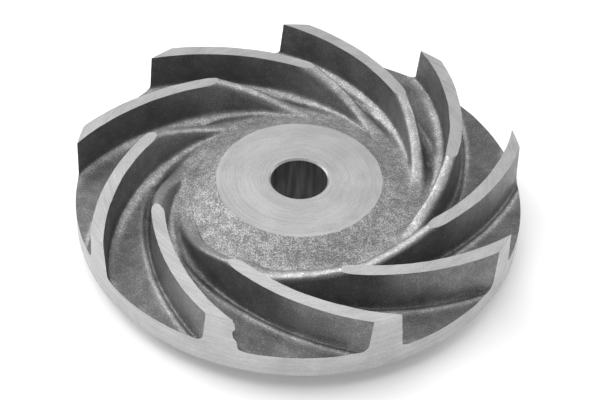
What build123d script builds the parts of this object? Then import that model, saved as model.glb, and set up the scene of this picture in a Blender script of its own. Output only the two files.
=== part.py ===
"""Semi-open pump impeller: one casting, machined where it fits and runs.

A disc carries a conical hub and nine backward-curved vanes. The vane tops, the
outside diameter, the hub face, the bore and the seat on the back boss are
machined. The channels, the hub flank and the sloping inner ends of the vanes
stay as cast, with draft on the walls and a cast radius at their feet.

Millimetres, +Z up. The origin is the centre of the seat on the back boss.
"""
import os
from math import cos, degrees, pi, radians, sin, tan

from build123d import *

# ---- driving dimensions -------------------------------------------------------
OUTER_DIAMETER = 125.0
VANE_COUNT = 9
FIRST_VANE_ANGLE = 16.25        # turn of the first vane's own frame, from +X
TURNING_STOCK = 4.0             # turned off the outside diameter

# heights above the back face of the disc
DISC_THICKNESS = 6.2
HUB_FACE_HEIGHT = 12.0
VANE_TOP_HEIGHT = 18.0

HUB_FACE_DIAMETER = 46.6
HUB_FLANK_ANGLE = 30.0          # below the horizontal
HUB_FOOT_RADIUS = 3.0           # where the flank meets the channel floor

BORE_DIAMETER = 16.0
BORE_CHAMFER = 0.5

BOSS_DIAMETER = 34.0            # the boss on the back, whose end is the seat
BOSS_HEIGHT = 5.0
BOSS_FOOT_RADIUS = 2.0
BOSS_CHAMFER = 0.6

# vane path in plan, for a vane whose sharp tip edge lies beside +X: tangent arcs
# that run inwards from the rim, clockwise about the axis, and end in the hub
TIP_ANGLE = -3.7                # middle of the tip
TIP_HEADING = 58.4              # the path's slope below -X at the tip
PATH_ARCS = (                   # radius and length of each arc
    (67.6, 39.2),
    (52.8, 42.0),
    (14.0, 18.0),
)
TIP_OVERRUN = 16.0              # turned off again with the outside diameter

# vane section
VANE_THICKNESS = 3.6            # across the machined top
VANE_DRAFT = 2.5                # a side
VANE_FOOT_RADIUS = 4.0          # between wall and channel floor
FOOT_SINK = 0.10                # the foot radii run this far under the floor
MACHINING_STOCK = 1.6           # cast height faced off the vane tops
CREST_RADIUS = 0.85             # cast rounding of the crest's two edges

# crest of the vane's inner end, seen square to the first vane's tip radius
CREST_ANGLE = 24.6              # its slope down towards the hub
CREST_START = 27.0              # X where the slope leaves the machined top
CREST_LEVEL_START = 10.4        # X where the slope starts to level out
CREST_LEVEL_RADIUS = 32.0
CREST_END = -30.0               # X well inside the hub flank

# a chip out of the sharp tip edge of one vane
CHIPPED_VANE = 6
CHIP_RADIUS = 2.4
CHIP_DEPTH = 0.9
CHIP_HEIGHT = 13.0              # above the back face of the disc

# ---- derived sizes ------------------------------------------------------------
OUTER_RADIUS = OUTER_DIAMETER / 2
BLANK_RADIUS = OUTER_RADIUS + TURNING_STOCK
STOCK_TOP = VANE_TOP_HEIGHT + MACHINING_STOCK
DRAFT_SLOPE = tan(radians(VANE_DRAFT))
ROOT_DEPTH = DISC_THICKNESS / 2     # the vane solids reach down to here
PITCH = 360 / VANE_COUNT

# ---- selecting faces and edges ------------------------------------------------
TOP_FACE_RISE = 0.7                 # a top's normal rises at least this much
RADIUS_TOLERANCE = 0.01


def square_left(length, heading):
    """A step to the left of the path, square to its heading below -X."""
    return Vector(length * sin(radians(heading)), -length * cos(radians(heading)))


def wall_half(height):
    """Half the thickness of a vane at a height above the disc's back face."""
    return VANE_THICKNESS / 2 + (VANE_TOP_HEIGHT - height) * DRAFT_SLOPE


def vane_section(path_radius):
    """Cross-section of a vane, with its cast feet, at a radius about +Z."""
    toe_height = DISC_THICKNESS - FOOT_SINK
    centre_height = toe_height + VANE_FOOT_RADIUS
    draft = radians(VANE_DRAFT)
    foot_centre = wall_half(centre_height) + VANE_FOOT_RADIUS / cos(draft)
    tangent = (
        foot_centre - VANE_FOOT_RADIUS * cos(draft),
        centre_height - VANE_FOOT_RADIUS * sin(draft),
    )
    middle_angle = (draft + pi / 2) / 2
    middle = (
        foot_centre - VANE_FOOT_RADIUS * cos(middle_angle),
        centre_height - VANE_FOOT_RADIUS * sin(middle_angle),
    )
    toe = (foot_centre, toe_height)
    top = (wall_half(STOCK_TOP), STOCK_TOP)

    def place(point, side):
        return (path_radius + side * point[0], point[1])

    lines = [Line(place(top, -1), place(top, 1))]
    for side in (-1, 1):
        lines += [
            Line(place(top, side), place(tangent, side)),
            ThreePointArc(place(tangent, side), place(middle, side), place(toe, side)),
            Line(place(toe, side), place((foot_centre, ROOT_DEPTH), side)),
        ]
    lines.append(Line(place((foot_centre, ROOT_DEPTH), -1), place((foot_centre, ROOT_DEPTH), 1)))
    return Plane.XZ * make_face(lines)


def swept_arc(start, heading, radius, length, lead_in):
    """The vane section carried along one arc, from a point of the path."""
    centre = start - square_left(radius, heading)
    end_heading = heading - degrees(length / radius)
    sweep_angle = degrees((length + lead_in) / radius)
    ring = revolve(vane_section(radius), Axis.Z, sweep_angle)
    arc = Pos(centre.X, centre.Y) * Rot(Z=end_heading - 90) * ring
    return arc, centre + square_left(radius, end_heading), end_heading


def crest_envelope():
    """Everything under the cast top of the first vane, as a straight prism."""
    slope = radians(CREST_ANGLE)
    start_x = CREST_START + MACHINING_STOCK / tan(slope)
    level_x = CREST_LEVEL_START
    level_height = VANE_TOP_HEIGHT - (CREST_START - level_x) * tan(slope)
    low_x = level_x - CREST_LEVEL_RADIUS * sin(slope)
    low_height = level_height - CREST_LEVEL_RADIUS * (1 - cos(slope))
    middle_x = level_x - CREST_LEVEL_RADIUS * (sin(slope) - sin(slope / 2))
    middle_height = low_height + CREST_LEVEL_RADIUS * (1 - cos(slope / 2))
    far_x = BLANK_RADIUS + TIP_OVERRUN
    outline = [
        Line((far_x, 0), (far_x, STOCK_TOP)),
        Line((far_x, STOCK_TOP), (start_x, STOCK_TOP)),
        Line((start_x, STOCK_TOP), (level_x, level_height)),
        ThreePointArc((level_x, level_height), (middle_x, middle_height), (low_x, low_height)),
        Line((low_x, low_height), (CREST_END, low_height)),
        Line((CREST_END, low_height), (CREST_END, 0)),
        Line((CREST_END, 0), (far_x, 0)),
    ]
    return extrude(Plane.XZ * make_face(outline), BLANK_RADIUS, both=True)


def cast_vane():
    """The first vane as cast, before its top and tip are machined."""
    tip_angle = radians(TIP_ANGLE)
    place = Vector(OUTER_RADIUS * cos(tip_angle), OUTER_RADIUS * sin(tip_angle))
    heading = TIP_HEADING
    lead_in = TIP_OVERRUN
    vane = Part()
    for radius, length in PATH_ARCS:
        arc, place, heading = swept_arc(place, heading, radius, length, lead_in)
        vane += arc
        lead_in = 0
    vane &= crest_envelope()

    tops = [
        face
        for face in vane.faces()
        if face.geom_type in (GeomType.PLANE, GeomType.CYLINDER)
        and face.normal_at(face.center()).Z > TOP_FACE_RISE
    ]
    walls = [face for face in vane.faces() if face.geom_type == GeomType.CONE]
    wall_edges = {edge for wall in walls for edge in wall.edges()}
    crest_edges = [edge for top in tops for edge in top.edges() if edge in wall_edges]
    return fillet(crest_edges, CREST_RADIUS)


def turned_body():
    """Disc, hub and back boss as one turned shape, oversize at the rim."""
    flank_run = (HUB_FACE_HEIGHT - DISC_THICKNESS) / tan(radians(HUB_FLANK_ANGLE))
    flank_foot = (HUB_FACE_DIAMETER / 2 + flank_run, DISC_THICKNESS)
    boss_foot = (BOSS_DIAMETER / 2, 0)
    corners = [
        (0, -BOSS_HEIGHT),
        (BOSS_DIAMETER / 2 - BOSS_CHAMFER, -BOSS_HEIGHT),
        (BOSS_DIAMETER / 2, -BOSS_HEIGHT + BOSS_CHAMFER),
        boss_foot,
        (BLANK_RADIUS, 0),
        (BLANK_RADIUS, DISC_THICKNESS),
        flank_foot,
        (HUB_FACE_DIAMETER / 2, HUB_FACE_HEIGHT),
        (0, HUB_FACE_HEIGHT),
    ]
    profile = make_face(Polyline(*corners, close=True))

    def corner_at(place):
        return profile.vertices().sort_by_distance((place[0], place[1], 0))[0]

    profile = fillet(corner_at(flank_foot), HUB_FOOT_RADIUS)
    profile = fillet(corner_at(boss_foot), BOSS_FOOT_RADIUS)
    return revolve(Plane.XZ * profile, Axis.Z)


def chip():
    """The ball that takes the chip out of the first vane's sharp tip edge."""
    rim_heading = 90
    wedge_middle = radians((rim_heading + TIP_HEADING) / 2)
    stand_off = CHIP_RADIUS - CHIP_DEPTH
    return Pos(
        OUTER_RADIUS + stand_off * cos(wedge_middle),
        stand_off * sin(wedge_middle),
        CHIP_HEIGHT,
    ) * Sphere(CHIP_RADIUS)


def impeller():
    """The finished casting, standing on its back boss."""
    vane = cast_vane()
    body = turned_body()
    for number in range(VANE_COUNT):
        body += Rot(Z=FIRST_VANE_ANGLE + number * PITCH) * vane

    finished_height = VANE_TOP_HEIGHT + BOSS_HEIGHT
    body &= Pos(Z=finished_height / 2 - BOSS_HEIGHT) * Cylinder(OUTER_RADIUS, finished_height)
    bore_length = 2 * finished_height
    body -= Cylinder(BORE_DIAMETER / 2, bore_length)
    bore_edges = [
        edge
        for edge in body.edges().filter_by(GeomType.CIRCLE)
        if abs(edge.radius - BORE_DIAMETER / 2) < RADIUS_TOLERANCE
    ]
    body = chamfer(bore_edges, BORE_CHAMFER)
    body -= Rot(Z=FIRST_VANE_ANGLE + CHIPPED_VANE * PITCH) * chip()
    return Pos(Z=BOSS_HEIGHT) * body


os.makedirs("parts", exist_ok=True)
export_step(impeller(), "parts/impeller.step")
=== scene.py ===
from math import atan2, cos, pi, radians, sin, sqrt, tan

import bmesh
import bpy
import numpy as np
from mathutils import Matrix, Vector, noise
from mathutils.geometry import delaunay_2d_cdt
from mathutils.kdtree import KDTree


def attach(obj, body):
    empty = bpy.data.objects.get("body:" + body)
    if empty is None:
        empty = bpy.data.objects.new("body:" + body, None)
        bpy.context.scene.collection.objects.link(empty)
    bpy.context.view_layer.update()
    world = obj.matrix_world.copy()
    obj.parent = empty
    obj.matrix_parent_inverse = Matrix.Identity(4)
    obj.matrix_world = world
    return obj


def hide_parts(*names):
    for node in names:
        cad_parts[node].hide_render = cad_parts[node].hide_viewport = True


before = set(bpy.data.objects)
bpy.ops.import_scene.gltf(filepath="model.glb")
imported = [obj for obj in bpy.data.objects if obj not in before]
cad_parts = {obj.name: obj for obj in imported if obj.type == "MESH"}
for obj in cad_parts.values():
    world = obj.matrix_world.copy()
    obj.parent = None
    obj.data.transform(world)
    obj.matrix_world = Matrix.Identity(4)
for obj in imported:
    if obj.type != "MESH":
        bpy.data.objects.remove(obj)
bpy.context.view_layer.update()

# Semi-open pump impeller. One closed mesh, impeller_casting, stands for the CAD solid. It has
# the same form, with the unevenness, low ridges and soft junctions of a sand casting.
#
# The shape is worked out in millimetres, with heights above the back face of the disc and the
# first vane's own frame turned back to +X. It is turned and scaled to metres at the end.

# ---- sizes of the solid --------------------------------------------------------------
OUTER_RADIUS = 62.5
VANE_COUNT = 9
PITCH = 360 / VANE_COUNT
FIRST_VANE_ANGLE = 16.25
FLOOR = 6.2                         # of the channels
HUB_FACE = 12.0
VANE_TOP = 18.0
HUB_FACE_RADIUS = 23.3
FLANK_ANGLE = radians(30.0)         # of the hub, below the horizontal
BORE_RADIUS = 8.0
BORE_CHAMFER = 0.5
BOSS_HEIGHT = 5.0
BOSS_RADIUS = 17.0
BOSS_FOOT_RADIUS = 2.0
BOSS_CHAMFER = 0.6

TIP_ANGLE = radians(-3.7)
TIP_HEADING = radians(58.4)         # the path's slope below -X at the tip
PATH_ARCS = ((67.6, 39.2), (52.8, 42.0), (14.0, 18.0))      # radius and length of each
DRAFT = tan(radians(2.5))
MACHINING_STOCK = 1.6               # cast height faced off the vane tops
CREST_SLOPE = radians(24.6)         # down towards the hub
CREST_START = 27.0                  # X where the slope leaves the machined top
LEVEL_START = 10.4                  # X where the slope starts to level out
LEVEL_RADIUS = 32.0

CHIPPED_VANE = 6
CHIP_HEIGHT = 13.0

# ---- form of the casting; a run is a distance along the vane's path from its tip -----
HALF_AT_TIP = 1.80                  # half of a vane's thickness at its top
HALF_INSIDE = 1.76
TAPER_LENGTH = 47.0
TAPER_LIMIT = 1.3                   # the taper goes on this much further, then stops
FOOT_AT_RIM = 2.9                   # foot radius on the convex side
HOLLOW_FOOT_AT_RIM = 1.7            # foot radius on the hollow side
FOOT_INSIDE = 2.3
FOOT_CHANGE = 16.0                  # run over which the foot radii change
CREST_ROUND = 1.5
CHANNEL_BLEND = 1.2                 # between neighbouring vanes
FLANK_BLEND = 1.4                   # between the vanes and the hub
RIM_CHAMFER = 0.25                  # of the disc's back edge

# low ridge and valley along a vane's convex foot, and the bank along its hollow one
RIDGE_PATH = ((0, 4.3), (20, 4.0), (38, 4.15), (44, 4.45), (50, 5.0), (57, 5.5), (63, 5.9))
RIDGE_HEIGHT = 0.34
RIDGE_WIDTH = 0.95
RIDGE_END = 66
VALLEY_DEPTH = 0.34
VALLEY_SHIFT = 1.5                  # from the ridge towards the vane
VALLEY_WIDTH = 1.1
BANK_PATH = ((0, 3.0), (30, 3.2), (47, 3.3), (60, 2.6), (71, 1.9))
BANK_HEIGHT = 0.5
BANK_WIDTH = 1.9
BANK_END = 74
LINES_START = -12
LINES_RISE = 20
LINES_FADE = 12

# how far each channel's floor stands above the nominal at the rim, after vane 0, 1, ...
CHANNEL_RISE = (-0.2, -0.2, 0.0, 0.0, 0.0, 0.43, 0.36, -1.2, -0.4)
CHANNEL_RISE_RADII = (40, 62)       # none at the first, all of it at the second
# how the cast crest of each vane leans where it leaves the machined top, and how it arches
CREST_LEAN = (0.0, -0.25, 0.0, 0.05, 0.22, 0.0, 0.08, 0.22, -0.25)
CREST_ARCH = (0.05, 0.04, 0.08, 0.05, 0.04, 0.13, 0.10, 0.03, 0.03)
LEAN_START = 36
LEAN_END = 70

# height and size of the skin's unevenness, coarse to fine
RELIEF = ((0.13, 8.5), (0.06, 3.1), (0.05, 1.25))
HUB_EDGE_WOBBLE = 0.1
HUB_EDGE_WOBBLE_SIZE = 3.0

# rough balls that make the chip: height above CHIP_HEIGHT, half sizes, depth, noise place
CHIP_BITES = ((0.0, (2.4, 2.4, 2.7), 0.70, 3.0), (5.0, (1.1, 1.1, 0.9), 0.50, 8.0))
CHIP_ROUGHNESS = ((0.07, 1.6), (0.02, 4.0))     # share of the ball's size, and frequency

# ---- fineness of the mesh ------------------------------------------------------------
STRIP_LENGTH = 80.0                 # a vane and its feet are one strip along its path
STRIP_HALF = 6.4
STRIP_CONVEX_TAPER = (52, 6.15, 0.1196)         # run, half width there, narrowing
STRIP_HOLLOW_TAPER = (24, 6.05, 0.1)
STRIP_HOLLOW_LEAST = 2.9
ROWS = 126
SIDE_COLUMNS = 22
TOP_COLUMNS = 6
SHEAR_FADE = 55.0                   # run over which the rows turn from the rim's line to square
BEND_WEIGHT = 0.9                   # columns crowd by up to this share where the section bends
SHOULDER_SHARE = 0.3                # of CREST_ROUND, in from the wall, where a crest's edge lies
FAN_HALF_ANGLE = 56                 # rays that look for the strip's surface, degrees
FAN_RAYS = 520
FAN_REACH = 24.0
REACH_PAST = 0.35                   # how far the rays look past the strip's edge
CELL = 0.62                         # spacing of the points of the open floor
JITTER = 0.08
RING_COUNT = 240
RIM_LEVELS = (0.34, 0.67, 1.0)      # shares of the way down the outside diameter
BACK_RINGS = ((55, 160), (45, 120), (35, 100), (26, 90))    # radius and number of points
HALVINGS = 20
RIM_HALVINGS = 40
MM = 0.001
CAST, MACHINED, BORED = 0, 1, 2     # material slots


# ---- the vane path -------------------------------------------------------------------
def path_arcs():
    """The path's arcs: centre, radius, run at both ends and heading at the first."""
    arcs = []
    x, y = OUTER_RADIUS * cos(TIP_ANGLE), OUTER_RADIUS * sin(TIP_ANGLE)
    heading = TIP_HEADING
    run = 0.0
    for radius, length in PATH_ARCS:
        cx, cy = x - radius * sin(heading), y + radius * cos(heading)
        arcs.append((cx, cy, radius, run, run + length, heading))
        heading -= length / radius
        x, y = cx + radius * sin(heading), cy - radius * cos(heading)
        run += length
    return arcs


ARCS = path_arcs()
PATH_LEAD = 40.0        # how far the first arc carries on outside the tip
FAR_OFF = 99.0          # offset of a place that is beside no arc


def path_place(run, off):
    """Plan position at a run along the path and an offset to its convex side."""
    run, off = np.broadcast_arrays(np.asarray(run, float), np.asarray(off, float))
    x = np.zeros(run.shape)
    y = np.zeros(run.shape)
    for number, (cx, cy, radius, start, _, heading) in enumerate(ARCS):
        here = run >= start if number else np.ones(run.shape, bool)
        turn = heading - (run - start) / radius
        x = np.where(here, cx + (radius + off) * np.sin(turn), x)
        y = np.where(here, cy - (radius + off) * np.cos(turn), y)
    return x, y


def path_coords(x, y):
    """Run and offset of plan positions from the first vane's path."""
    run = np.zeros(np.shape(x))
    off = np.full(np.shape(x), FAR_OFF)
    for number, (cx, cy, radius, start, end, heading) in enumerate(ARCS):
        turn = np.arctan2(x - cx, cy - y)
        s = start + ((heading - turn + pi) % (2 * pi) - pi) * radius
        d = np.hypot(x - cx, y - cy) - radius
        low = start if number else -PATH_LEAD
        good = (s >= low - 1e-9) & (s <= end + 1e-9) & (np.abs(d) < np.abs(off))
        run = np.where(good, s, run)
        off = np.where(good, d, off)
    return run, off


def turned(x, y, angle):
    """Plan positions turned about the axis by an angle in degrees."""
    c, s = cos(radians(angle)), sin(radians(angle))
    return c * x - s * y, s * x + c * y


def smooth(t):
    """A smooth step from 0 to 1 as t goes from 0 to 1."""
    t = np.clip(t, 0, 1)
    return t * t * (3 - 2 * t)


def rise(value, start, length):
    """0 up to start, then smoothly up to 1 over a length."""
    return smooth((value - start) / length)


def fall(value, end, length):
    """1 until a length before end, then smoothly down to 0 at end."""
    return smooth((end - value) / length)


def hump(distance, width):
    return np.exp(-(distance / width) ** 2)


def halve(low, high, passes, times):
    """Where a test that low passes and high fails turns from true to false."""
    for _ in range(times):
        middle = (low + high) / 2
        passed = passes(middle)
        low = np.where(passed, middle, low)
        high = np.where(passed, high, middle)
    return (low + high) / 2


# ---- the cast surface as a level set: below zero is metal ----------------------------
def soft_union(a, b, blend):
    """The nearer of two surfaces, blended where they are closer together than blend."""
    near = np.maximum(blend - np.abs(a - b), 0) / blend
    return np.minimum(a, b) - near ** 2 * blend / 4


def crest_height(x):
    """Height of the cast top of the first vane, which slopes along X and then levels out."""
    level = VANE_TOP - (CREST_START - LEVEL_START) * tan(CREST_SLOPE)
    sloping = VANE_TOP - (CREST_START - x) * tan(CREST_SLOPE)
    back = np.clip(LEVEL_START - x, 0, LEVEL_RADIUS * sin(CREST_SLOPE))
    arc_x = LEVEL_RADIUS * sin(CREST_SLOPE) - back
    drop = np.sqrt(LEVEL_RADIUS ** 2 - arc_x ** 2) - LEVEL_RADIUS * cos(CREST_SLOPE)
    top = np.where(x > LEVEL_START, sloping, level - drop)
    return np.minimum(top, VANE_TOP + MACHINING_STOCK)


def wall_half(run, z):
    """Half of a vane's thickness at a height."""
    half = HALF_AT_TIP + (HALF_INSIDE - HALF_AT_TIP) * np.clip(run / TAPER_LENGTH, 0, TAPER_LIMIT)
    return half + (VANE_TOP - z) * DRAFT


def ridge_place(run):
    """Offset of the low ridge along a vane's foot on its convex side."""
    return np.interp(run, *zip(*RIDGE_PATH))


def bank_place(run):
    """How far from the path the bank against a vane's hollow side is highest."""
    return np.interp(run, *zip(*BANK_PATH))


def floor_lines(run, off):
    """Height of the ridge, valley and bank beside a vane's feet."""
    past = off - ridge_place(run)
    ridge = RIDGE_HEIGHT * hump(past, RIDGE_WIDTH)
    valley = VALLEY_DEPTH * hump(past + VALLEY_SHIFT, VALLEY_WIDTH)
    bank = BANK_HEIGHT * hump(-off - bank_place(run), BANK_WIDTH)
    convex = (ridge - valley) * fall(run, RIDGE_END, LINES_FADE)
    hollow = bank * fall(run, BANK_END, LINES_FADE)
    return rise(run, LINES_START, LINES_RISE) * np.where(off > 0, convex, hollow)


def vane_level(run, off, x, z, above_floor):
    """Level set of one vane on the channel floor, with its feet and its rounded crest."""
    wall = np.abs(off) - wall_half(run, z)
    at_rim = np.where(off > 0, FOOT_AT_RIM, HOLLOW_FOOT_AT_RIM)
    foot = at_rim + (FOOT_INSIDE - at_rim) * smooth(run / FOOT_CHANGE)
    to_wall = np.maximum(foot - wall, 0)
    to_floor = np.maximum(foot - above_floor, 0)
    body = np.maximum(foot, np.minimum(wall, above_floor)) - np.hypot(to_wall, to_floor)
    crest = (z - crest_height(x)) * np.where(x > 0, cos(CREST_SLOPE), 1)
    past_body = np.maximum(CREST_ROUND + body, 0)
    past_crest = np.maximum(CREST_ROUND + crest, 0)
    return np.minimum(-CREST_ROUND, np.maximum(body, crest)) + np.hypot(past_body, past_crest)


def cast_level(x, y, z):
    """The metal's level set at points of the first vane's neighbourhood."""
    plans = [turned(x, y, angle) for angle in (0, PITCH, -PITCH)]
    places = [path_coords(*plan) for plan in plans]
    relief = sum(floor_lines(*place) for place in places)
    above_floor = z - FLOOR - relief
    metal = None
    for (vane_x, _), (run, off) in zip(plans, places):
        vane = vane_level(run, off, vane_x, z, above_floor)
        metal = vane if metal is None else soft_union(metal, vane, CHANNEL_BLEND)
    from_hub = (np.hypot(x, y) - HUB_FACE_RADIUS) * tan(FLANK_ANGLE)
    flank = (z - HUB_FACE + from_hub) * cos(FLANK_ANGLE)
    return soft_union(metal, flank, FLANK_BLEND)


def cast_height(x, y):
    """Height of the cast surface over plan positions."""
    low = np.zeros(np.shape(x))
    high = np.full(np.shape(x), VANE_TOP + 3)
    return halve(low, high, lambda z: cast_level(x, y, z) < 0, HALVINGS)


# ---- one vane's strip: rows along the path, columns over the section -----------------
def rim_run(off):
    """Run at which a line at an offset from the path meets the outside diameter."""
    low = np.full(np.shape(off), -30.0)
    high = np.full(np.shape(off), 40.0)
    return halve(low, high, lambda run: np.hypot(*path_place(run, off)) > OUTER_RADIUS, RIM_HALVINGS)


def strip_width(run, side):
    """Offset at which the strip gives way to the open floor, short of the next strip."""
    start, half, narrowing = STRIP_CONVEX_TAPER if side > 0 else STRIP_HOLLOW_TAPER
    width = half - narrowing * (run - start)
    if side < 0:
        width = np.maximum(width, STRIP_HOLLOW_LEAST)
    return np.minimum(STRIP_HALF, width)


def edge_measure(off, height, measure, shoulder, side):
    """Where a vane's edge lies: on the machined plane, or on the cast shoulder below it."""
    at_shoulder = np.interp(side * shoulder, off, measure)
    if np.interp(side * shoulder, off, height) < VANE_TOP:
        return at_shoulder
    index = np.arange(len(off)) if side > 0 else np.arange(len(off) - 1, -1, -1)
    outside = index[side * off[index] > shoulder]
    below = outside[np.argmax(height[outside] < VANE_TOP)]
    above = below - side
    share = (height[above] - VANE_TOP) / (height[above] - height[below])
    return measure[above] + share * (measure[below] - measure[above])


def section_measure(off, height):
    """A length along a section that grows faster where the section bends."""
    length = np.concatenate([[0], np.cumsum(np.hypot(np.diff(off), np.diff(height)))])
    slope = np.unwrap(np.arctan2(np.gradient(height), np.gradient(off)))
    bend = np.abs(np.gradient(slope) / np.maximum(np.gradient(length), 1e-6))
    weight = 1 + BEND_WEIGHT * np.clip(bend, 0, 0.9)
    steps = np.diff(length) * (weight[1:] + weight[:-1]) / 2
    return np.concatenate([[0], np.cumsum(steps)])


def strip():
    """Points of the first vane's strip: rows by columns by x, y and height."""
    run = STRIP_LENGTH * np.linspace(0, 1, ROWS)
    fade = np.clip(1 - run / SHEAR_FADE, 0, 1)
    angles = np.radians(np.linspace(-FAN_HALF_ANGLE, FAN_HALF_ANGLE, FAN_RAYS))
    outer = strip_width(run, 1)
    inner = strip_width(run, -1)
    width = np.where(angles > 0, outer[:, None], inner[:, None]) + REACH_PAST
    known_offs = np.linspace(-9.5, 9.5, 400)
    known_rims = rim_run(known_offs)

    def rim_at(off):
        return np.interp(off, known_offs, known_rims)

    def fan(reach):
        off = reach * np.sin(angles)
        height = reach * np.cos(angles)
        s = run[:, None] + rim_at(np.clip(off, -9, 9)) * fade[:, None]
        x, y = path_place(s, off)
        return x, y, height, off

    def in_metal(reach):
        x, y, height, _ = fan(reach)
        return cast_level(x, y, height) < 0

    nearest = np.zeros((ROWS, FAN_RAYS))
    farthest = np.minimum(FAN_REACH, width / np.maximum(np.abs(np.sin(angles)), 1e-6))
    _, _, heights, offs = fan(halve(nearest, farthest, in_metal, HALVINGS))

    rows = []
    for number in range(ROWS):
        off, height = offs[number], heights[number]
        measure = section_measure(off, height)
        crest = crest_height(path_place(run[number], 0)[0])
        shoulder = wall_half(run[number], crest) - SHOULDER_SHARE * CREST_ROUND
        stops = [
            np.interp(-inner[number], off, measure),
            edge_measure(off, height, measure, shoulder, -1),
            edge_measure(off, height, measure, shoulder, 1),
            np.interp(outer[number], off, measure),
        ]
        marks = np.concatenate([
            np.linspace(stops[0], stops[1], SIDE_COLUMNS + 1),
            np.linspace(stops[1], stops[2], TOP_COLUMNS + 1)[1:],
            np.linspace(stops[2], stops[3], SIDE_COLUMNS + 1)[1:],
        ])
        row_off = np.interp(marks, measure, off)
        row_height = np.interp(marks, measure, height)
        x, y = path_place(run[number] + rim_at(row_off) * fade[number], row_off)
        rows.append(np.stack([x, y, row_height], 1))
    return np.array(rows)


# ---- gathering the mesh --------------------------------------------------------------
class Shell:
    """Points, faces and the finish of each face, gathered piece by piece."""

    def __init__(self):
        self.points = np.zeros((0, 3))
        self.faces = []
        self.finishes = []

    def add_points(self, block):
        first = len(self.points)
        self.points = np.concatenate([self.points, block])
        return first + np.arange(len(block))

    def add_face(self, corners, finish):
        self.faces.append([int(corner) for corner in corners])
        self.finishes.append(finish)

    def bridge(self, lower, upper, finish):
        """Quads between two closed rings; seen from outside, upper lies above lower."""
        count = len(lower)
        for i in range(count):
            j = (i + 1) % count
            self.add_face((lower[i], lower[j], upper[j], upper[i]), finish)

    def triangulate(self, loops, extra, drop, finish, up=True):
        """Delaunay faces over vertex loops and extra vertices, without those drop() refuses."""
        used = np.concatenate([*loops, extra]).astype(int)
        edges = []
        start = 0
        for loop in loops:
            count = len(loop)
            edges += [(start + i, start + (i + 1) % count) for i in range(count)]
            start += count
        plan = [Vector(point) for point in self.points[used, :2]]
        spots, _, cells, sources, _, _ = delaunay_2d_cdt(plan, edges, [], 0, 1e-7, True)
        corners = [ids[0] if len(ids) else -1 for ids in sources]
        middle = np.array([np.mean([spots[v][:] for v in cell], axis=0) for cell in cells])
        keep = ~drop(middle[:, 0], middle[:, 1])
        for cell, kept in zip(cells, keep):
            if kept:
                path = [used[corners[v]] for v in cell]
                self.add_face(path if up else path[::-1], finish)


def ring(radius, z, count):
    angle = np.arange(count) * 2 * pi / count
    return np.stack([radius * np.cos(angle), radius * np.sin(angle), np.full(count, z)], 1)


def inside(polygon, x, y):
    """Which points lie inside a closed plan polygon."""
    hit = np.zeros(len(x), bool)
    ends = np.roll(polygon, -1, axis=0)
    for (ax, ay), (bx, by) in zip(polygon, ends):
        if ay == by:
            continue
        crosses = (ay > y) != (by > y)
        hit ^= crosses & (x < (bx - ax) * (y - ay) / (by - ay) + ax)
    return hit


def nearest_frame(x, y):
    """For each plan position, the vane it is nearest to and its place in that vane's frame."""
    best = np.full(len(x), 1e9)
    vane = np.zeros(len(x), int)
    px, py = x.copy(), y.copy()
    for number in range(VANE_COUNT):
        qx, qy = turned(x, y, -number * PITCH)
        off = np.abs(path_coords(qx, qy)[1])
        nearer = off < best
        best = np.where(nearer, off, best)
        vane = np.where(nearer, number, vane)
        px = np.where(nearer, qx, px)
        py = np.where(nearer, qy, py)
    return vane, px, py


def surface(x, y):
    """Cast height anywhere between the vanes."""
    _, px, py = nearest_frame(x, y)
    return cast_height(px, py)


def add_strips(shell, base):
    """The first vane's strip, repeated round the axis; the ids of each copy's points."""
    strips = []
    rows, columns = base.shape[:2]
    for number in range(VANE_COUNT):
        x, y = turned(base[..., 0], base[..., 1], number * PITCH)
        block = np.stack([x, y, base[..., 2]], -1).reshape(-1, 3)
        ids = shell.add_points(block).reshape(rows, columns)
        strips.append(ids)
        for i in range(rows - 1):
            for j in range(columns - 1):
                corners = (ids[i, j], ids[i + 1, j], ids[i + 1, j + 1], ids[i, j + 1])
                shell.add_face(corners, CAST)
    return strips


def add_rim(shell, base, strips):
    """Rim points of the channels; the whole rim as a loop, and the open floor's outer loop."""
    rim_loop = []
    floor_loop = []
    begin = atan2(base[0, 0, 1], base[0, 0, 0])
    end = atan2(base[0, -1, 1], base[0, -1, 0]) + radians(PITCH)
    count = int((end - begin) * OUTER_RADIUS / CELL)
    for number, ids in enumerate(strips):
        rim_loop += list(ids[0, ::-1])
        floor_loop += list(ids[:, -1]) + list(ids[-1, -2:0:-1]) + list(ids[::-1, 0])
        angle = begin + (end - begin) * np.arange(1, count) / count + radians(number * PITCH)
        x, y = OUTER_RADIUS * np.cos(angle), OUTER_RADIUS * np.sin(angle)
        arc = shell.add_points(np.stack([x, y, surface(x, y)], 1))
        rim_loop += list(arc)
        floor_loop += list(arc)
    return rim_loop, floor_loop


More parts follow.
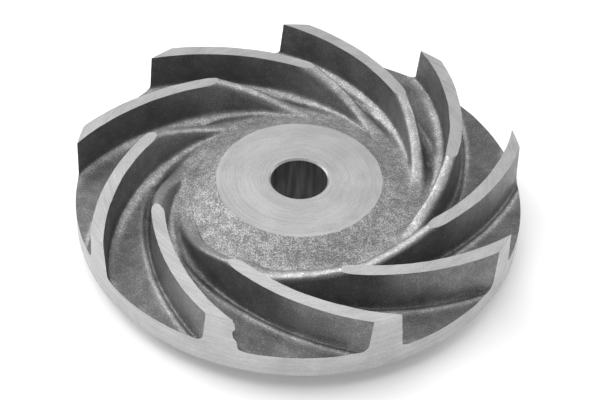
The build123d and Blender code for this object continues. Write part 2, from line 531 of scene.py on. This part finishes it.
def add_open_floor(shell, strips, floor_loop, hub_edge):
    """The floor and the hub flank between the strips: a jittered grid clear of the loops."""
    draw = np.random.default_rng(7)
    span = OUTER_RADIUS + 0.5
    x, y = np.meshgrid(np.arange(-span, span, CELL), np.arange(-span, span, CELL * sqrt(3) / 2))
    x = x + (np.arange(x.shape[0]) % 2)[:, None] * CELL / 2
    x = (x + draw.uniform(-JITTER, JITTER, x.shape)).ravel()
    y = (y + draw.uniform(-JITTER, JITTER, y.shape)).ravel()
    outlines = [
        shell.points[np.concatenate([s[:, -1], s[-1, -2:0:-1], s[::-1, 0], s[0, 1:-1]]), :2]
        for s in strips
    ]

    def not_open(x, y):
        r = np.hypot(x, y)
        shut = (r < HUB_FACE_RADIUS) | (r > OUTER_RADIUS)
        for outline in outlines:
            shut |= inside(outline, x, y)
        return shut

    keep = ~not_open(x, y)
    x, y = x[keep], y[keep]
    border = [*floor_loop, *hub_edge]
    tree = KDTree(len(border))
    for number, vertex in enumerate(border):
        tree.insert((shell.points[vertex, 0], shell.points[vertex, 1], 0), number)
    tree.balance()
    clearance = 0.62 * CELL
    clear = np.array([tree.find((px, py, 0))[2] > clearance for px, py in zip(x, y)])
    x, y = x[clear], y[clear]
    grid = shell.add_points(np.stack([x, y, surface(x, y)], 1))
    shell.triangulate([floor_loop, hub_edge], grid, not_open, CAST)


# ---- relief of the casting -----------------------------------------------------------
def normals_of(points, faces):
    """Unit normals of points, from the faces round each."""
    total = np.zeros_like(points)
    for size in (3, 4):
        block = np.array([face for face in faces if len(face) == size])
        corner = [points[block[:, number]] for number in range(size)]
        if size == 3:
            area = np.cross(corner[1] - corner[0], corner[2] - corner[0])
        else:
            area = np.cross(corner[2] - corner[0], corner[3] - corner[1])
        for number in range(size):
            np.add.at(total, block[:, number], area)
    return total / np.maximum(np.linalg.norm(total, axis=1, keepdims=True), 1e-9)


def field(points, size, seed):
    """Smooth noise from -1 to 1 over the surface, features about size millimetres wide."""
    shift = Vector((seed * 17.3, seed * 5.1, seed * 9.7))
    return np.array([noise.noise(Vector(point) / size + shift) for point in points])


def channel_rise(z, vane, px, py):
    """How far a channel's floor is lifted, over plan positions in their nearest vane's frame."""
    _, off = path_coords(px, py)
    channel = (vane - (off > 0)) % VANE_COUNT
    first, last = CHANNEL_RISE_RADII
    outwards = rise(np.hypot(px, py), first, last - first)
    return np.array(CHANNEL_RISE)[channel] * outwards * fall(z, 12, 5)


def crest_lean(z, vane, px, py):
    """How far a vane's crest is lifted or dropped beside the end of its machined top."""
    run, off = path_coords(px, py)
    near = rise(run, LEAN_START, 6) * fall(run, LEAN_END, 8)
    near = near * smooth((z - crest_height(px) + 4) / 2)
    return near * (np.array(CREST_LEAN)[vane] * off - np.array(CREST_ARCH)[vane] * off ** 2)


def roughen(shell, hub_edge):
    """Moves the plain surface's points to the uneven places that a casting has."""
    plain = shell.points
    normals = normals_of(plain, shell.faces)
    normals *= np.where(normals[:, 2:] < -0.05, -1, 1)
    relief = sum(
        height * field(plain, size, seed)
        for seed, (height, size) in enumerate(RELIEF, start=1)
    )
    moved = plain + normals * relief[:, None]
    nearest = nearest_frame(plain[:, 0], plain[:, 1])
    moved[:, 2] += channel_rise(plain[:, 2], *nearest) + crest_lean(plain[:, 2], *nearest)
    on_plane = np.abs(plain[:, 2] - VANE_TOP) < 1e-4
    moved[on_plane, 2] = VANE_TOP
    at_rim = np.hypot(plain[:, 0], plain[:, 1]) > OUTER_RADIUS - 1e-3
    scale = OUTER_RADIUS / np.hypot(moved[at_rim, 0], moved[at_rim, 1])
    moved[at_rim, :2] *= scale[:, None]
    moved[hub_edge] = plain[hub_edge]
    wobble = HUB_EDGE_WOBBLE * field(plain[hub_edge], HUB_EDGE_WOBBLE_SIZE, len(RELIEF) + 1)
    moved[hub_edge, :2] *= (1 + wobble / HUB_FACE_RADIUS)[:, None]
    shell.points = moved


# ---- machined outside, back, boss and bore -------------------------------------------
def add_outside(shell, rim_loop):
    """The outside diameter, from the rim down to the disc's back edge, whose loop it returns."""
    rim_top = shell.points[rim_loop]
    around = rim_top[:, :2] / OUTER_RADIUS
    previous = np.array(rim_loop)
    for share in RIM_LEVELS:
        z = rim_top[:, 2] * (1 - share) + RIM_CHAMFER * share
        level = shell.add_points(np.column_stack([around * OUTER_RADIUS, z]))
        shell.bridge(level, previous, MACHINED)
        previous = level
    edge = np.column_stack([around * (OUTER_RADIUS - RIM_CHAMFER), np.zeros(len(around))])
    back_edge = shell.add_points(edge)
    shell.bridge(back_edge, previous, MACHINED)
    return back_edge


def turned_rings(shell, profile, first):
    """Closed rings along a turned profile of (radius, height), bridged in order."""
    previous = first
    before = None
    for radius, z in profile:
        here = shell.add_points(ring(radius, z, RING_COUNT))
        finish = BORED if radius == before == BORE_RADIUS else MACHINED
        shell.bridge(previous, here, finish)
        previous = here
        before = radius
    return previous


def add_turned_middle(shell, back_edge, hub_edge):
    """The disc's back, the boss, the bore and the hub face."""
    foot = [
        (BOSS_RADIUS + BOSS_FOOT_RADIUS * (1 - sin(turn)), -BOSS_FOOT_RADIUS * (1 - cos(turn)))
        for turn in np.radians(np.arange(0, 91, 15))
    ]
    foot_edge = shell.add_points(ring(*foot[0], RING_COUNT))
    profile = foot[1:] + [
        (BOSS_RADIUS, -BOSS_HEIGHT + BOSS_CHAMFER),
        (BOSS_RADIUS - BOSS_CHAMFER, -BOSS_HEIGHT),
        (BORE_RADIUS + BORE_CHAMFER, -BOSS_HEIGHT),
        (BORE_RADIUS, -BOSS_HEIGHT + BORE_CHAMFER),
        (BORE_RADIUS, 0.0),
        (BORE_RADIUS, HUB_FACE - 5.0),
        (BORE_RADIUS, HUB_FACE - BORE_CHAMFER),
        (BORE_RADIUS + BORE_CHAMFER, HUB_FACE),
        ((BORE_RADIUS + HUB_FACE_RADIUS) / 2, HUB_FACE),
    ]
    last = turned_rings(shell, profile, foot_edge)
    shell.bridge(last, hub_edge, MACHINED)
    back_spots = np.concatenate([ring(radius, 0.0, count) for radius, count in BACK_RINGS])
    back = shell.add_points(back_spots)
    boss_outline = ring(foot[0][0], 0.0, RING_COUNT)[:, :2]

    def under_boss(x, y):
        return inside(boss_outline, x, y)

    shell.triangulate([back_edge, foot_edge], back, under_boss, MACHINED, up=False)


# ---- from points to the finished mesh ------------------------------------------------
def raw_mesh():
    """The whole casting before its vane tops are faced, in metres and in place."""
    shell = Shell()
    base = strip()
    strips = add_strips(shell, base)
    rim_loop, floor_loop = add_rim(shell, base, strips)
    hub_edge = shell.add_points(ring(HUB_FACE_RADIUS, HUB_FACE, RING_COUNT))
    add_open_floor(shell, strips, floor_loop, hub_edge)
    roughen(shell, hub_edge)
    back_edge = add_outside(shell, rim_loop)
    add_turned_middle(shell, back_edge, hub_edge)

    x, y = turned(shell.points[:, 0], shell.points[:, 1], FIRST_VANE_ANGLE)
    placed = np.column_stack([x, y, shell.points[:, 2] + BOSS_HEIGHT]) * MM
    mesh = bpy.data.meshes.new("impeller_casting")
    mesh.from_pydata(placed.tolist(), [], shell.faces)
    mesh.polygons.foreach_set("material_index", shell.finishes)
    mesh.update()
    return mesh


def face_vane_tops(mesh):
    """Cuts the mesh off at the height of the vane tops and closes each cut with a flat face."""
    bm = bmesh.new()
    bm.from_mesh(mesh)
    top = (VANE_TOP + BOSS_HEIGHT) * MM
    crossing = [
        face for face in bm.faces
        if min(v.co.z for v in face.verts) < top < max(v.co.z for v in face.verts)
    ]
    bmesh.ops.triangulate(bm, faces=crossing)
    bmesh.ops.bisect_plane(
        bm,
        geom=bm.verts[:] + bm.edges[:] + bm.faces[:],
        dist=1e-8,
        plane_co=(0, 0, top),
        plane_no=(0, 0, 1),
        clear_outer=True,
    )
    cuts = [edge for edge in bm.edges if edge.is_boundary]
    caps = bmesh.ops.edgeloop_fill(bm, edges=cuts, mat_nr=MACHINED)["faces"]
    bmesh.ops.triangulate(bm, faces=caps)
    bmesh.ops.recalc_face_normals(bm, faces=bm.faces[:])
    bm.to_mesh(mesh)
    bm.free()


def lump(place, size, seed):
    """A rough ball, in millimetres, to cut a chip with."""
    (broad, broad_pitch), (fine, fine_pitch) = CHIP_ROUGHNESS
    shape = bmesh.new()
    bmesh.ops.create_icosphere(shape, subdivisions=4, radius=1.0)
    for vertex in shape.verts:
        rough = 1 + broad * noise.noise(vertex.co * broad_pitch + Vector((seed, 0, 0)))
        rough += fine * noise.noise(vertex.co * fine_pitch + Vector((0, seed, 0)))
        vertex.co = Vector(place) + Vector(size) * rough * vertex.co
        vertex.co *= MM
    for face in shape.faces:
        face.smooth = True
    made = bpy.data.meshes.new("chip")
    shape.to_mesh(made)
    shape.free()
    lumped = bpy.data.objects.new("chip", made)
    bpy.context.scene.collection.objects.link(lumped)
    return lumped


def cut_away(target, cutter):
    """Takes the cutter's volume out of the target and deletes the cutter."""
    cut = target.modifiers.new("cut", "BOOLEAN")
    cut.operation = "DIFFERENCE"
    cut.solver = "EXACT"
    cut.object = cutter
    bpy.context.view_layer.update()
    found = target.evaluated_get(bpy.context.evaluated_depsgraph_get())
    result = bpy.data.meshes.new_from_object(found)
    target.modifiers.clear()
    old = target.data
    target.data = result
    bpy.data.meshes.remove(old)
    bpy.data.meshes.remove(cutter.data)


def chip_tip(casting):
    """The chip out of one vane's sharp tip edge."""
    tip_turn = radians(FIRST_VANE_ANGLE + CHIPPED_VANE * PITCH)
    wedge = tip_turn + (radians(90) + TIP_HEADING) / 2
    for height, size, depth, seed in CHIP_BITES:
        stand_off = size[0] - depth
        middle = (
            OUTER_RADIUS * cos(tip_turn) + stand_off * cos(wedge),
            OUTER_RADIUS * sin(tip_turn) + stand_off * sin(wedge),
            CHIP_HEIGHT + BOSS_HEIGHT + height,
        )
        cut_away(casting, lump(middle, size, seed))


def shade_edges(mesh):
    """Smooth skin, with sharp edges where one finish meets another and at machined corners."""
    bm = bmesh.new()
    bm.from_mesh(mesh)
    for face in bm.faces:
        face.smooth = True
    for edge in bm.edges:
        if len(edge.link_faces) == 2:
            a, b = edge.link_faces
            if a.material_index != b.material_index:
                edge.smooth = False
            elif a.material_index != CAST and a.normal.angle(b.normal, 0) > radians(20):
                edge.smooth = False
    bm.to_mesh(mesh)
    bm.free()


# ---- how the skin's tone and grain change over the surface, with painted highlight and shade ---
# lighter crests stand for rubbed wear and a painted highlight, lighter ridge lines and banks for a
# painted highlight, darker valleys for painted shade
CREST_WEAR_AND_HIGHLIGHT = 0.5
VALLEY_PAINTED_SHADE = 0.8
LINE_HIGHLIGHT_WIDTH = 0.65
BANK_HIGHLIGHT_SHIFT = 0.6              # the bank's painted highlight is strongest this far down its slope
BANK_HIGHLIGHT_WIDTH = 1.0
FLOOR_GRAIN = 0.25                  # coarseness of the channel floors


def wear_and_light_tone(x, y, z):
    """How the skin's tone changes: above zero on crests for rubbed wear and a painted highlight, and on
    floor lines and banks for a painted highlight; below it in valleys for painted shade.
    """
    _, px, py = nearest_frame(x, y)
    run, off = path_coords(px, py)
    crest = np.minimum(crest_height(px), VANE_TOP)
    # rubbed wear and painted highlight along the crest
    crest_wear_and_highlight = CREST_WEAR_AND_HIGHLIGHT * smooth((z - crest + 1.0) / 0.9) * (px < CREST_START + 3)
    past = off - ridge_place(run)
    # painted highlight along the ridge, and painted shade in the valley beside it
    line = hump(past, LINE_HIGHLIGHT_WIDTH) * rise(run, -2, 14) * (0.4 + 0.6 * fall(run, 46, 14))
    valley = hump(past + VALLEY_SHIFT, VALLEY_WIDTH) * fall(run, RIDGE_END, LINES_FADE)
    # painted highlight down the slope of the bank
    bank = hump(-off - bank_place(run) - BANK_HIGHLIGHT_SHIFT, BANK_HIGHLIGHT_WIDTH)
    bank *= (0.3 + 0.7 * rise(run, 4, 14)) * fall(run, BANK_END + 4, 14)
    near_floor = fall(z, FLOOR + 3.0, 2.5)
    beside = np.where(off > 0, line - VALLEY_PAINTED_SHADE * valley, bank) * near_floor
    return np.clip(np.maximum(crest_wear_and_highlight, beside) + np.minimum(beside, 0), -1, 1)


def coarse_grain(x, y, z):
    """How coarse the skin's grain is: most on the hub flank, least on the vane walls."""
    r = np.hypot(x, y)
    from_flank = np.abs(z - HUB_FACE + (r - HUB_FACE_RADIUS) * tan(FLANK_ANGLE))
    flank = smooth(1.6 - from_flank / 1.5) * fall(r, 38, 6)
    return np.maximum(flank, FLOOR_GRAIN * fall(z, FLOOR + 3.5, 3))


def paint_masks(mesh):
    """Stores both measures on the mesh, for the cast skin's material."""
    spots = np.zeros(len(mesh.vertices) * 3)
    mesh.vertices.foreach_get("co", spots)
    spots = spots.reshape(-1, 3) / MM
    x, y = turned(spots[:, 0], spots[:, 1], -FIRST_VANE_ANGLE)
    z = spots[:, 2] - BOSS_HEIGHT
    for name, measure in (("wear_and_painted_light", wear_and_light_tone), ("coarse", coarse_grain)):
        mesh.attributes.new(name, "FLOAT", "POINT").data.foreach_set("value", measure(x, y, z))


casting = bpy.data.objects.new("impeller_casting", raw_mesh())
bpy.context.scene.collection.objects.link(casting)
face_vane_tops(casting.data)
chip_tip(casting)
casting.data.name = "impeller_casting"
shade_edges(casting.data)
paint_masks(casting.data)
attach(casting, "root")
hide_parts("impeller")


# ---- materials -----------------------------------------------------------------------
def node(tree, kind, inputs, **settings):
    """A new node, its inputs given as numbers or as sockets to link from."""
    made = tree.nodes.new(kind)
    for name, value in settings.items():
        setattr(made, name, value)
    for name, value in inputs.items():
        if isinstance(value, bpy.types.NodeSocket):
            tree.links.new(value, made.inputs[name])
        else:
            made.inputs[name].default_value = value
    return made.outputs[0]


def speckle(tree, place, size, detail=2.0, roughness=0.5):
    """Noise with features about size millimetres wide, from 0 to 1 about 0.5."""
    inputs = {"Vector": place, "Scale": 1 / size, "Detail": detail, "Roughness": roughness}
    return node(tree, "ShaderNodeTexNoise", inputs)


def ramp(tree, value, low, high, to_low=0.0, to_high=1.0):
    """A value's stretch from low to high, carried smoothly to another stretch."""
    inputs = {"Value": value, "From Min": low, "From Max": high, "To Min": to_low, "To Max": to_high}
    return node(tree, "ShaderNodeMapRange", inputs, interpolation_type="SMOOTHSTEP")


def spread(tree, value, to_low, to_high):
    """Noise spread over a stretch."""
    return ramp(tree, value, 0.3, 0.7, to_low, to_high)


def maths(tree, operation, a, b):
    return node(tree, "ShaderNodeMath", {0: a, 1: b}, operation=operation)


def plus(tree, total, *terms):
    """A value plus others, each times its weight."""
    for value, weight in terms:
        total = maths(tree, "ADD", total, maths(tree, "MULTIPLY", value, weight))
    return total


def grey(tree, value):
    return node(tree, "ShaderNodeCombineColor", {"Red": value, "Green": value, "Blue": value})


def painted(tree, name):
    """A measure stored on the mesh."""
    source = tree.nodes.new("ShaderNodeAttribute")
    source.attribute_name = name
    return source.outputs["Fac"]


def new_material(name):
    """A material, its node tree and shader, and the surface's place in millimetres."""
    made = bpy.data.materials.new(name)
    made.use_nodes = True
    tree = made.node_tree
    place = tree.nodes.new("ShaderNodeTexCoord").outputs["Object"]
    place = node(tree, "ShaderNodeVectorMath", {0: place, "Scale": 1 / MM}, operation="SCALE")
    return made, tree, tree.nodes["Principled BSDF"], place


def add_bump(tree, shader, height, depth, strength):
    """Bump of a depth in millimetres."""
    inputs = {"Height": height, "Distance": depth * MM, "Strength": strength}
    tree.links.new(node(tree, "ShaderNodeBump", inputs), shader.inputs["Normal"])


def cast_skin():
    """Blasted grey iron: dark, with bright grains that crowd on the raised edges, where the tone is
    lifted for rubbed wear and a painted highlight; darker in the valleys as painted shade.
    """
    made, tree, shader, place = new_material("cast_skin")
    wear_and_painted_light = painted(tree, "wear_and_painted_light")
    coarse = painted(tree, "coarse")
    grain = speckle(tree, place, 0.24, 2.0, 0.6)
    grit = speckle(tree, place, 0.42, 1.0)
    clump = speckle(tree, place, 2.2)
    cloud = speckle(tree, place, 9.0, 3.0)
    # above zero: rubbed wear and painted highlight; below zero: painted shade
    raised = maths(tree, "MAXIMUM", wear_and_painted_light, 0.0)
    painted_valley_shade = maths(tree, "MINIMUM", wear_and_painted_light, 0.0)

    mixed = plus(tree, maths(tree, "MULTIPLY", grain, 0.5), (grit, 0.5))
    lift = plus(tree, spread(tree, clump, -0.04, 0.04), (coarse, 0.03))
    bright = ramp(tree, maths(tree, "ADD", mixed, lift), 0.45, 0.68)
    ground = ramp(tree, cloud, 0.35, 0.65, 0.135, 0.18)
    # on crests and floor lines the tone is lifted for wear and painted highlight, with more bright
    # grains; in valleys it is lowered as painted shade
    ground = plus(tree, ground, (raised, 0.24), (painted_valley_shade, 0.05), (coarse, -0.11))
    force = plus(tree, 0.10, (coarse, 0.05), (raised, 0.36))
    tone = plus(tree, ground, (bright, force))
    tree.links.new(grey(tree, tone), shader.inputs["Base Color"])
    tree.links.new(ramp(tree, bright, 0, 1, 0.48, 0.38), shader.inputs["Roughness"])
    tree.links.new(ramp(tree, coarse, 0, 1, 0.7, 0.35), shader.inputs["Metallic"])

    height = maths(tree, "MULTIPLY", mixed, plus(tree, 0.5, (coarse, 0.7)))
    add_bump(tree, shader, height, 0.26, 0.7)
    return made


def machined_face():
    """Turned and faced iron: light satin grey, with fine marks that run about the axis."""
    made, tree, shader, place = new_material("machined_face")
    split = node(tree, "ShaderNodeSeparateXYZ", {0: place}).node.outputs
    flat = node(tree, "ShaderNodeCombineXYZ", {"X": split["X"], "Y": split["Y"]})
    length = node(tree, "ShaderNodeVectorMath", {0: flat}, operation="LENGTH").node
    radius = length.outputs["Value"]
    drift = maths(tree, "MULTIPLY", maths(tree, "ADD", split["X"], split["Y"]), 0.06)
    along = node(tree, "ShaderNodeCombineXYZ", {"X": radius, "Y": split["Z"], "Z": drift})
    marks = speckle(tree, along, 0.22, 3.0, 0.6)
    bands = speckle(tree, along, 1.1)
    grain = speckle(tree, place, 0.5)
    cloud = speckle(tree, place, 7.0)

    tone = spread(tree, marks, 0.41, 0.49)
    for speckles, darker, lighter in ((bands, -0.02, 0.03), (grain, -0.03, 0.03), (cloud, -0.03, 0.03)):
        tone = maths(tree, "ADD", tone, spread(tree, speckles, darker, lighter))
    tree.links.new(grey(tree, tone), shader.inputs["Base Color"])
    tree.links.new(spread(tree, marks, 0.46, 0.36), shader.inputs["Roughness"])
    shader.inputs["Metallic"].default_value = 0.7
    add_bump(tree, shader, marks, 0.03, 0.6)
    return made


def bore_wall_painted_shade():
    """The bore: darker than the faces as painted shade inside the hole, with soft streaks along it."""
    made, tree, shader, place = new_material("bore_wall_painted_shade")
    along = node(tree, "ShaderNodeVectorMath", {0: place, 1: (1.0, 1.0, 0.12)}, operation="MULTIPLY")
    streaks = speckle(tree, along, 1.6, 3.0)
    # painted shade: the bore's grey is kept well below the machined faces' own tone
    tree.links.new(grey(tree, spread(tree, streaks, 0.085, 0.18)), shader.inputs["Base Color"])
    shader.inputs["Roughness"].default_value = 0.45
    shader.inputs["Metallic"].default_value = 0.6
    return made


slots = casting.data.materials
for slot, made in enumerate((cast_skin(), machined_face(), bore_wall_painted_shade())):
    if slot < len(slots):
        slots[slot] = made
    else:
        slots.append(made)


# ---- floor, light and camera; metres -------------------------------------------------
FLOOR_HALF = 3.0
FLOOR_TONE = 0.94
FLOOR_GLOW = 0.1
SKY_STRENGTH = 0.42
LIGHT_AIM = Vector((0, 0, 0.01))
# name, place, diameter and watts of each soft light
LIGHTS = (
    ("above", (-0.26, 0.16, 0.98), 1.3, 8.0),
    ("right", (0.80, 0.42, 0.62), 0.7, 3.4),
    ("left", (-0.85, 0.36, 0.66), 0.7, 5.5),
    ("front", (-0.30, -0.90, 0.30), 0.6, 0.9),
)

# the camera stands in front and looks at the middle of the disc's back, but for a shift
PHOTO_WIDTH_PX = 600
FOCAL_LENGTH_PX = 1721.4
SHIFT_RIGHT_PX = 1.93
SHIFT_UP_PX = 9.28
CAMERA_DISTANCE = 7.840 * OUTER_RADIUS * MM
CAMERA_TILT = radians(43.66)        # its line of sight below the horizontal
CAMERA_ROLL = radians(2.16)
SENSOR_WIDTH_MM = 36


def studio_floor():
    mesh = bpy.data.meshes.new("studio_floor")
    corners = [(-1, -1), (1, -1), (1, 1), (-1, 1)]
    mesh.from_pydata([(FLOOR_HALF * x, FLOOR_HALF * y, 0) for x, y in corners], [], [(0, 1, 2, 3)])
    floor = bpy.data.objects.new("studio_floor", mesh)
    bpy.context.scene.collection.objects.link(floor)
    pale = bpy.data.materials.new("pale_floor")
    pale.use_nodes = True
    shader = pale.node_tree.nodes["Principled BSDF"].inputs
    shader["Base Color"].default_value = (FLOOR_TONE, FLOOR_TONE, FLOOR_TONE, 1)
    shader["Roughness"].default_value = 0.9
    shader["Specular IOR Level"].default_value = 0.0
    shader["Emission Color"].default_value = (1, 1, 1, 1)
    shader["Emission Strength"].default_value = FLOOR_GLOW
    mesh.materials.append(pale)
    return floor


def white_sky():
    world = bpy.data.worlds.new("studio")
    bpy.context.scene.world = world
    world.use_nodes = True
    background = world.node_tree.nodes["Background"].inputs
    background["Color"].default_value = (1, 1, 1, 1)
    background["Strength"].default_value = SKY_STRENGTH


def soft_light(name, place, size, power):
    lamp = bpy.data.lights.new(name, "AREA")
    lamp.shape = "DISK"
    lamp.size = size
    lamp.energy = power
    made = bpy.data.objects.new(name, lamp)
    made.location = place
    made.rotation_euler = (LIGHT_AIM - Vector(place)).to_track_quat("-Z", "Y").to_euler()
    bpy.context.scene.collection.objects.link(made)


def photo_view():
    """The camera, at the photograph's viewing angle."""
    away = Vector((0, cos(CAMERA_TILT), -sin(CAMERA_TILT)))
    up = Vector((0, sin(CAMERA_TILT), cos(CAMERA_TILT)))
    right = Vector((1, 0, 0))
    side = cos(CAMERA_ROLL) * right + sin(CAMERA_ROLL) * up
    top = -sin(CAMERA_ROLL) * right + cos(CAMERA_ROLL) * up
    place = Vector((0, 0, BOSS_HEIGHT * MM)) - CAMERA_DISTANCE * away
    data = bpy.data.cameras.new("photo_view")
    camera = bpy.data.objects.new("photo_view", data)
    bpy.context.scene.collection.objects.link(camera)
    camera.matrix_world = Matrix((
        (side.x, top.x, -away.x, place.x),
        (side.y, top.y, -away.y, place.y),
        (side.z, top.z, -away.z, place.z),
        (0, 0, 0, 1),
    ))
    data.sensor_width = SENSOR_WIDTH_MM
    data.lens = FOCAL_LENGTH_PX / PHOTO_WIDTH_PX * SENSOR_WIDTH_MM
    data.shift_x = SHIFT_RIGHT_PX / PHOTO_WIDTH_PX
    data.shift_y = SHIFT_UP_PX / PHOTO_WIDTH_PX
    data.clip_start = 0.01
    return camera


studio_floor()
white_sky()
for name, place, size, power in LIGHTS:
    soft_light(name, place, size, power)
bpy.context.scene.view_settings.view_transform = "Standard"
bpy.context.scene.camera = photo_view()
